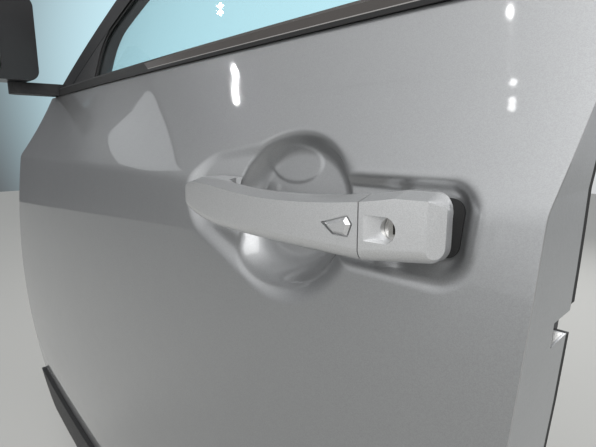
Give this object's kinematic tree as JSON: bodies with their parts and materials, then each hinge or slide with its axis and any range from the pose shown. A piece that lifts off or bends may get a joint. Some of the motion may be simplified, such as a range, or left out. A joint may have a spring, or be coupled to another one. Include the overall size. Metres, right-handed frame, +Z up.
{
  "type": "front door of a sport utility vehicle",
  "caption": "Left front car door with curved metal skin, sprung pull handle in a cup, framed glass, folding mirror, trimmed inside and bolt-on hinges.",
  "frame": {"origin": "middle of the upper hinge's mounting face on the pillar", "axes": "+X towards the rear of the car, +Y towards the inside of the car, +Z up"},
  "size_m": [1.129, 0.4563, 1.1165],
  "materials": {
    "body_paint": "silver metallic clear coat",
    "inner_paint": "silver paint, plainer on the inner panel",
    "black_satin": "black satin",
    "belt_trim": "dark satin strip",
    "grained_plastic": "grained black plastic",
    "glass": "lightly tinted glass",
    "rubber": "matt black rubber",
    "hinge_steel": "painted steel",
    "latch_steel": "plated steel",
    "bracket_plastic": "black glass-filled plastic",
    "key_metal": "bright plated metal",
    "mirror_silver": "mirror",
    "trim_dark": "soft grained charcoal trim",
    "trim_fabric": "woven charcoal cloth",
    "trim_silver": "satin silver trim"
  },
  "bodies": {
    "pillar": {"upper_hinge_pillar_leaf": "hinge_steel", "lower_hinge_pillar_leaf": "hinge_steel"},
    "door": {"outer_panel": "body_paint", "inner_panel": "inner_paint", "window_frame": "black_satin", "sail_panel": "grained_plastic", "glass_run_seal": "rubber", "door_glass": "glass", "outer_belt_moulding": "belt_trim", "inner_belt_seal": "rubber", "lower_cladding": "grained_plastic", "upper_hinge_door_leaf": "hinge_steel", "lower_hinge_door_leaf": "hinge_steel", "latch": "latch_steel", "handle_cap": "body_paint", "key_cylinder": "key_metal", "handle_rear_seal": "rubber", "handle_front_seal": "rubber", "handle_bracket": "bracket_plastic", "mirror_base": "grained_plastic", "trim_panel": "trim_dark", "upper_trim": "trim_dark", "armrest": "trim_fabric", "window_switch_panel": "black_satin", "inner_handle_bezel": "trim_silver", "inner_handle_lever": "trim_silver", "speaker_grille": "grained_plastic", "map_pocket": "trim_dark", "door_weatherstrip": "rubber", "frame_seal": "rubber"},
    "grip": {"grip": "body_paint", "unlock_button": "body_paint"},
    "mirror_head": {"mirror_housing": "black_satin", "mirror_glass": "mirror_silver"}
  },
  "joints": [
    {"name": "door_swing", "type": "hinge", "parent": "pillar", "child": "door", "pos_m": [0.022, -0.045, 0], "axis": [0, 0, -1], "range_deg": [0, 68]},
    {"name": "grip_pull", "type": "hinge", "parent": "door", "child": "grip", "pos_m": [0.801, -0.09, 0.02], "axis": [0, 0, -1], "range_deg": [0, 10], "stiffness_Nm_per_rad": 2, "springref_deg": -17.19},
    {"name": "mirror_fold", "type": "hinge", "parent": "door", "child": "mirror_head", "pos_m": [0.1, -0.075, 0.178], "axis": [0, 0, 1], "range_deg": [0, 60]}
  ]
}
